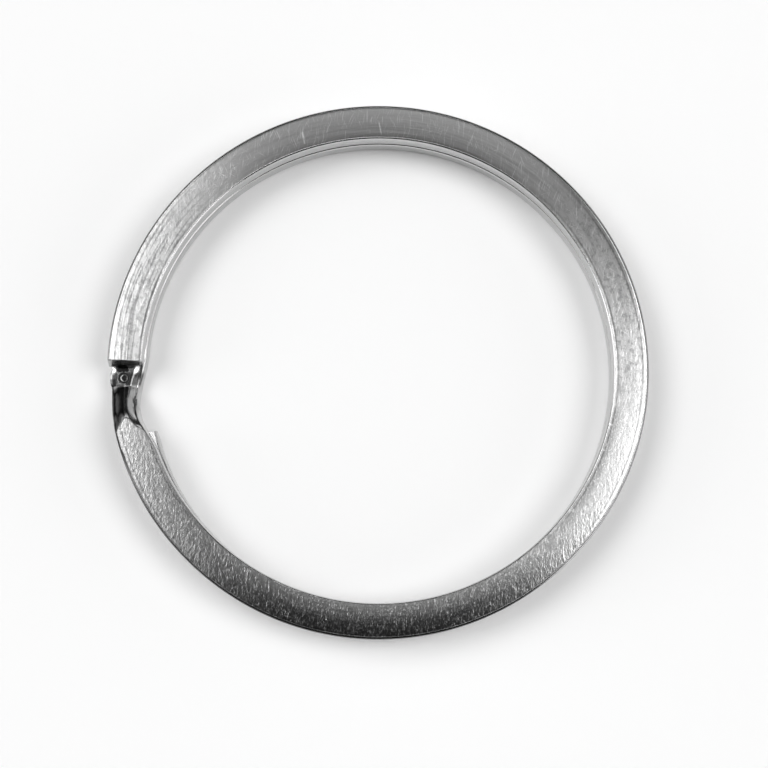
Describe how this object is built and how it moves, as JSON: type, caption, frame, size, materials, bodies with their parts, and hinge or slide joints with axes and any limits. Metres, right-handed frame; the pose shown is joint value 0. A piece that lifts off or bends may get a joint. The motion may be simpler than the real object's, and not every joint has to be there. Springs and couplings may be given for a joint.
{
  "type": "split key ring",
  "caption": "Flat split ring of spring wire wound into two touching turns, with a joggle and two free ends, that keys are threaded onto.",
  "frame": {"origin": "on the ring's axis, in the plane that the lower turn's underside rests on", "axes": "+Z along the ring's axis, from the lower turn to the upper turn; +X points away from the joggle, which lies at about -X"},
  "size_m": [0.0321, 0.032, 0.0026],
  "materials": {
    "plated_steel": "nickel-plated spring steel, faces drawn with fine streaks along the wire and scuffed by use"
  },
  "bodies": {
    "root": {"split_ring": "plated_steel"}
  },
  "joints": []
}
